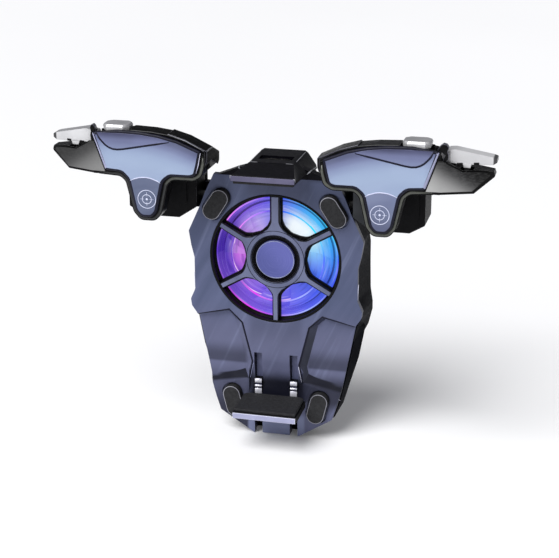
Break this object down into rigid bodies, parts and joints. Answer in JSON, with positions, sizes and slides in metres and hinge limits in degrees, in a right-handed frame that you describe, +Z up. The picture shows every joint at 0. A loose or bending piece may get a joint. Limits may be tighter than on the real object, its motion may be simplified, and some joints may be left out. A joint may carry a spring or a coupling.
{
  "type": "phone game controller with cooling fan",
  "caption": "Clip-on cooling fan that grips a phone between two jaws and holds a sliding shoulder-trigger unit on each side, with a lever, a short button and a screen-tapping tongue.",
  "frame": {"origin": "on the plane of the four rubber pads, on the symmetry plane, half way between the two jaws at rest", "axes": "+X to the player's right along the phone's long side, +Y away from the player, +Z up; the phone lies on the -Y side of the pads' plane"},
  "size_m": [0.1322, 0.0293, 0.101],
  "materials": {
    "slate_shell": "slate blue-grey metallic paint, satin",
    "black_shell": "piano black moulding, lightly grained inside",
    "jaw_slate": "slate moulding with a lilac front edge",
    "black_gloss": "polished",
    "badge_blue": "satin blue lacquer",
    "light_diffuser": "milky, lit from behind",
    "rotor_milk": "milky translucent",
    "board_green": "solder mask",
    "lamp_white": "clear resin",
    "bronze": "sintered, oiled",
    "lamination": "stamped sheet",
    "copper": "enamelled wire",
    "magnet": "sintered",
    "steel": "zinc plated",
    "spring_steel": "drawn wire",
    "nickel": "bright nickel",
    "pad_rubber": "matt, soft",
    "periwinkle_plate": "periwinkle metallic, satin",
    "satin_grey": "satin graphite",
    "silver_part": "silver plating, satin",
    "contact_foot": "conductive rubber",
    "switch_black": "moulded"
  },
  "bodies": {
    "main": {"front_cover": "slate_shell", "rear_cover": "black_shell", "cover_screws": "steel", "fan_frame": "black_shell", "fan_guard": "slate_shell", "hub_bezel": "black_gloss", "hub_badge": "badge_blue", "light_ring": "light_diffuser", "led_board": "board_green", "leds": "lamp_white", "fan_bearing": "bronze", "stator_core": "lamination", "stator_coils": "copper", "fan_board": "board_green", "arm_guide": "black_shell", "upper_jaw": "black_shell", "upper_jaw_pad": "pad_rubber", "power_socket": "nickel", "upper_pads": "pad_rubber", "lower_pads": "pad_rubber", "control_board": "board_green", "detent_springs": "spring_steel"},
    "fan": {"fan_rotor": "rotor_milk", "rotor_magnet": "magnet", "fan_shaft": "steel"},
    "jaw": {"lower_jaw": "jaw_slate", "jaw_cushion": "pad_rubber", "jaw_rails": "nickel"},
    "trigger_left": {"trigger_body_left": "black_shell", "face_plate_left": "periwinkle_plate", "top_cover_left": "black_shell", "side_cover_left": "satin_grey", "rear_clamp_left": "black_shell", "clamp_pad_left": "pad_rubber", "slide_arm_left": "black_shell", "touch_pad_left": "contact_foot", "switch_board_left": "board_green", "press_switches_left": "switch_black", "lever_pin_left": "steel", "lever_spring_left": "spring_steel", "clamp_screws_left": "steel", "button_spring_left": "spring_steel"},
    "lever_left": {"trigger_lever_left": "silver_part"},
    "button_left": {"fire_button_left": "silver_part"},
    "trigger_right": {"trigger_body_right": "black_shell", "face_plate_right": "periwinkle_plate", "top_cover_right": "black_shell", "side_cover_right": "satin_grey", "rear_clamp_right": "black_shell", "clamp_pad_right": "pad_rubber", "slide_arm_right": "black_shell", "touch_pad_right": "contact_foot", "switch_board_right": "board_green", "press_switches_right": "switch_black", "lever_pin_right": "steel", "lever_spring_right": "spring_steel", "clamp_screws_right": "steel", "button_spring_right": "spring_steel"},
    "lever_right": {"trigger_lever_right": "silver_part"},
    "button_right": {"fire_button_right": "silver_part"}
  },
  "joints": [
    {"name": "fan_spin", "type": "hinge", "parent": "main", "child": "fan", "pos_m": [0, 0.006, 0.0084], "axis": [0, 1, 0], "continuous": true},
    {"name": "jaw_slide", "type": "slide", "parent": "main", "child": "jaw", "axis": [0, 0, 1], "range_m": [-0.01, 0.008]},
    {"name": "trigger_left_slide", "type": "slide", "parent": "main", "child": "trigger_left", "axis": [-1, 0, 0], "range_m": [0, 0.012]},
    {"name": "lever_left_press", "type": "hinge", "parent": "trigger_left", "child": "lever_left", "pos_m": [-0.0509, -0.008, 0.0451], "axis": [0, -1, 0], "range_deg": [0, 5], "stiffness_Nm_per_rad": 0.12},
    {"name": "button_left_press", "type": "slide", "parent": "trigger_left", "child": "button_left", "axis": [0, 0, -1], "range_m": [0, 0.0005], "stiffness_N_per_m": 900, "deforming": ["button_spring_left"]},
    {"name": "trigger_right_slide", "type": "slide", "parent": "main", "child": "trigger_right", "axis": [1, 0, 0], "range_m": [0, 0.012]},
    {"name": "lever_right_press", "type": "hinge", "parent": "trigger_right", "child": "lever_right", "pos_m": [0.0509, -0.008, 0.0451], "axis": [0, 1, 0], "range_deg": [0, 5], "stiffness_Nm_per_rad": 0.12},
    {"name": "button_right_press", "type": "slide", "parent": "trigger_right", "child": "button_right", "axis": [0, 0, -1], "range_m": [0, 0.0005], "stiffness_N_per_m": 900, "deforming": ["button_spring_right"]}
  ]
}
